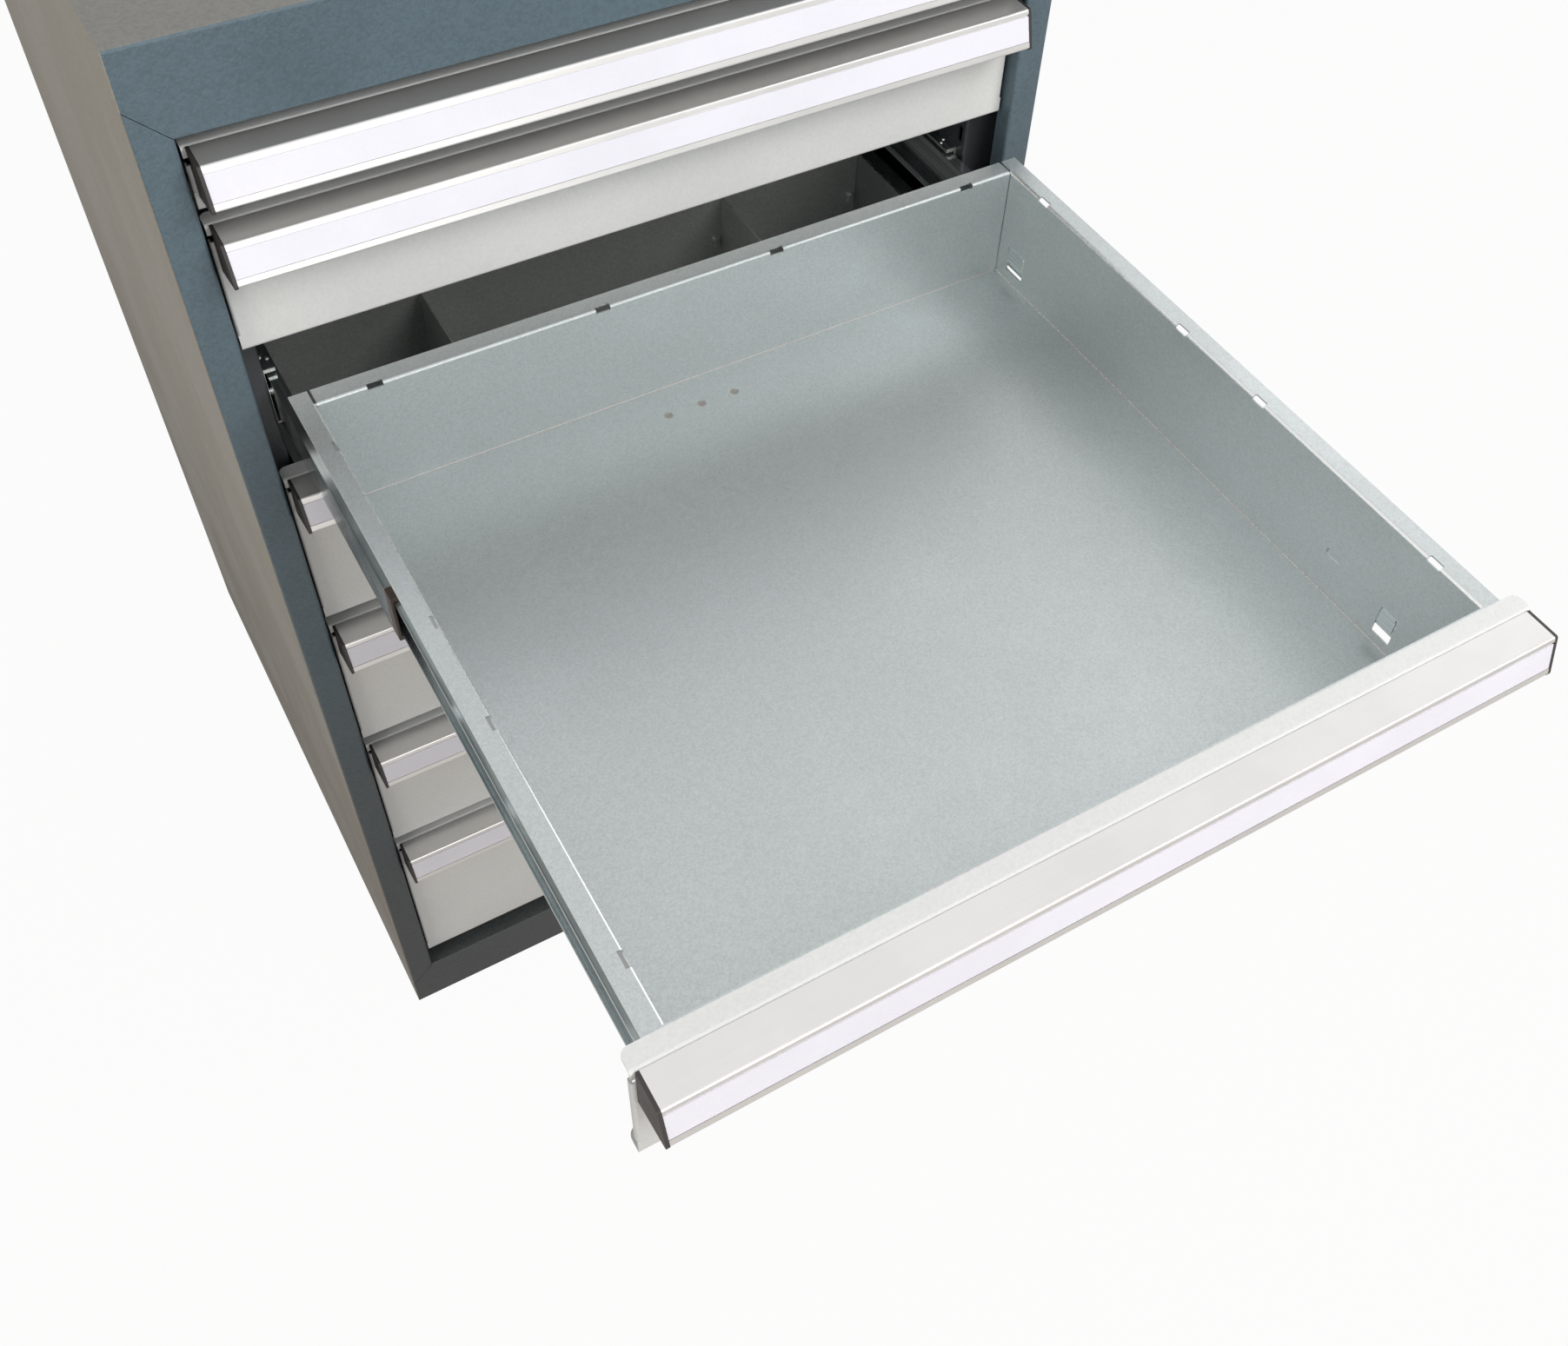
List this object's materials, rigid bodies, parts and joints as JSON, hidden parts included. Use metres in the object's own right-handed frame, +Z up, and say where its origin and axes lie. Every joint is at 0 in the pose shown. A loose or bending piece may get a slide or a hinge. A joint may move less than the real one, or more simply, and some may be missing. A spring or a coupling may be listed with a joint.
{
  "type": "drawer_cabinet",
  "caption": "Floor-standing workshop cabinet of painted sheet steel with full-width galvanised drawers on ball-bearing slides and aluminium label handles, a drawer pulled out",
  "frame": {"origin": "centre of the underside of the base", "axes": "Z up, Y from the front to the back (the open drawer makes it the longest side), X across the width"},
  "size_m": [0.717, 1.3666, 1.23],
  "materials": {
    "housing_paint": "fine textured powder coat, blue-grey, slightly glossy",
    "front_paint": "light grey powder coat, fine texture",
    "galvanised_sheet": "galvanised sheet, dull with faint spangle",
    "rail_zinc": "bright zinc plate",
    "handle_aluminium": "satin anodised extrusion",
    "label_paper": "blank label strip under clear film",
    "cap_plastic": "charcoal moulded plastic"
  },
  "bodies": {
    "cabinet": {"left_side_panel": "housing_paint", "right_side_panel": "housing_paint", "top_panel": "housing_paint", "base_panel": "housing_paint", "back_panel": "housing_paint", "left_slide_posts": "housing_paint", "right_slide_posts": "housing_paint", "fixed_rails_left": "rail_zinc", "fixed_rails_right": "rail_zinc", "rail_rivets": "rail_zinc"},
    "drawer_1": {"drawer_1_tray": "galvanised_sheet", "drawer_1_front": "front_paint", "drawer_1_handle": "handle_aluminium", "drawer_1_label_strip": "label_paper", "drawer_1_end_caps": "cap_plastic", "drawer_1_inner_rails": "rail_zinc"},
    "middle_slides_1": {"drawer_1_middle_rails": "rail_zinc"},
    "drawer_2": {"drawer_2_tray": "galvanised_sheet", "drawer_2_front": "front_paint", "drawer_2_handle": "handle_aluminium", "drawer_2_label_strip": "label_paper", "drawer_2_end_caps": "cap_plastic", "drawer_2_inner_rails": "rail_zinc"},
    "middle_slides_2": {"drawer_2_middle_rails": "rail_zinc"},
    "drawer_3": {"drawer_3_tray": "galvanised_sheet", "drawer_3_front": "front_paint", "drawer_3_handle": "handle_aluminium", "drawer_3_label_strip": "label_paper", "drawer_3_end_caps": "cap_plastic", "drawer_3_inner_rails": "rail_zinc"},
    "middle_slides_3": {"drawer_3_middle_rails": "rail_zinc"},
    "drawer_4": {"drawer_4_tray": "galvanised_sheet", "drawer_4_front": "front_paint", "drawer_4_handle": "handle_aluminium", "drawer_4_label_strip": "label_paper", "drawer_4_end_caps": "cap_plastic", "drawer_4_inner_rails": "rail_zinc", "drawer_4_partitions": "galvanised_sheet"},
    "middle_slides_4": {"drawer_4_middle_rails": "rail_zinc"},
    "drawer_5": {"drawer_5_tray": "galvanised_sheet", "drawer_5_front": "front_paint", "drawer_5_handle": "handle_aluminium", "drawer_5_label_strip": "label_paper", "drawer_5_end_caps": "cap_plastic", "drawer_5_inner_rails": "rail_zinc"},
    "middle_slides_5": {"drawer_5_middle_rails": "rail_zinc"},
    "drawer_6": {"drawer_6_tray": "galvanised_sheet", "drawer_6_front": "front_paint", "drawer_6_handle": "handle_aluminium", "drawer_6_label_strip": "label_paper", "drawer_6_end_caps": "cap_plastic", "drawer_6_inner_rails": "rail_zinc"},
    "middle_slides_6": {"drawer_6_middle_rails": "rail_zinc"},
    "drawer_7": {"drawer_7_tray": "galvanised_sheet", "drawer_7_front": "front_paint", "drawer_7_handle": "handle_aluminium", "drawer_7_label_strip": "label_paper", "drawer_7_end_caps": "cap_plastic", "drawer_7_inner_rails": "rail_zinc"},
    "middle_slides_7": {"drawer_7_middle_rails": "rail_zinc"}
  },
  "joints": [
    {"name": "drawer_1_slide", "type": "slide", "parent": "cabinet", "child": "drawer_1", "axis": [0, -1, 0], "range_m": [0, 0.62]},
    {"name": "middle_slides_1_slide", "type": "slide", "parent": "cabinet", "child": "middle_slides_1", "axis": [0, -1, 0], "range_m": [0, 0.31]},
    {"name": "drawer_2_slide", "type": "slide", "parent": "cabinet", "child": "drawer_2", "axis": [0, -1, 0], "range_m": [0, 0.62]},
    {"name": "middle_slides_2_slide", "type": "slide", "parent": "cabinet", "child": "middle_slides_2", "axis": [0, -1, 0], "range_m": [0, 0.31]},
    {"name": "drawer_3_slide", "type": "slide", "parent": "cabinet", "child": "drawer_3", "axis": [0, -1, 0], "range_m": [-0.62, 0]},
    {"name": "middle_slides_3_slide", "type": "slide", "parent": "cabinet", "child": "middle_slides_3", "axis": [0, -1, 0], "range_m": [-0.31, 0]},
    {"name": "drawer_4_slide", "type": "slide", "parent": "cabinet", "child": "drawer_4", "axis": [0, -1, 0], "range_m": [0, 0.62]},
    {"name": "middle_slides_4_slide", "type": "slide", "parent": "cabinet", "child": "middle_slides_4", "axis": [0, -1, 0], "range_m": [0, 0.31]},
    {"name": "drawer_5_slide", "type": "slide", "parent": "cabinet", "child": "drawer_5", "axis": [0, -1, 0], "range_m": [0, 0.62]},
    {"name": "middle_slides_5_slide", "type": "slide", "parent": "cabinet", "child": "middle_slides_5", "axis": [0, -1, 0], "range_m": [0, 0.31]},
    {"name": "drawer_6_slide", "type": "slide", "parent": "cabinet", "child": "drawer_6", "axis": [0, -1, 0], "range_m": [0, 0.62]},
    {"name": "middle_slides_6_slide", "type": "slide", "parent": "cabinet", "child": "middle_slides_6", "axis": [0, -1, 0], "range_m": [0, 0.31]},
    {"name": "drawer_7_slide", "type": "slide", "parent": "cabinet", "child": "drawer_7", "axis": [0, -1, 0], "range_m": [0, 0.62]},
    {"name": "middle_slides_7_slide", "type": "slide", "parent": "cabinet", "child": "middle_slides_7", "axis": [0, -1, 0], "range_m": [0, 0.31]}
  ],
  "couplings": [
    {"joint": "middle_slides_1_slide", "follows": "drawer_1_slide", "ratio": 0.5},
    {"joint": "middle_slides_2_slide", "follows": "drawer_2_slide", "ratio": 0.5},
    {"joint": "middle_slides_3_slide", "follows": "drawer_3_slide", "ratio": 0.5},
    {"joint": "middle_slides_4_slide", "follows": "drawer_4_slide", "ratio": 0.5},
    {"joint": "middle_slides_5_slide", "follows": "drawer_5_slide", "ratio": 0.5},
    {"joint": "middle_slides_6_slide", "follows": "drawer_6_slide", "ratio": 0.5},
    {"joint": "middle_slides_7_slide", "follows": "drawer_7_slide", "ratio": 0.5}
  ]
}
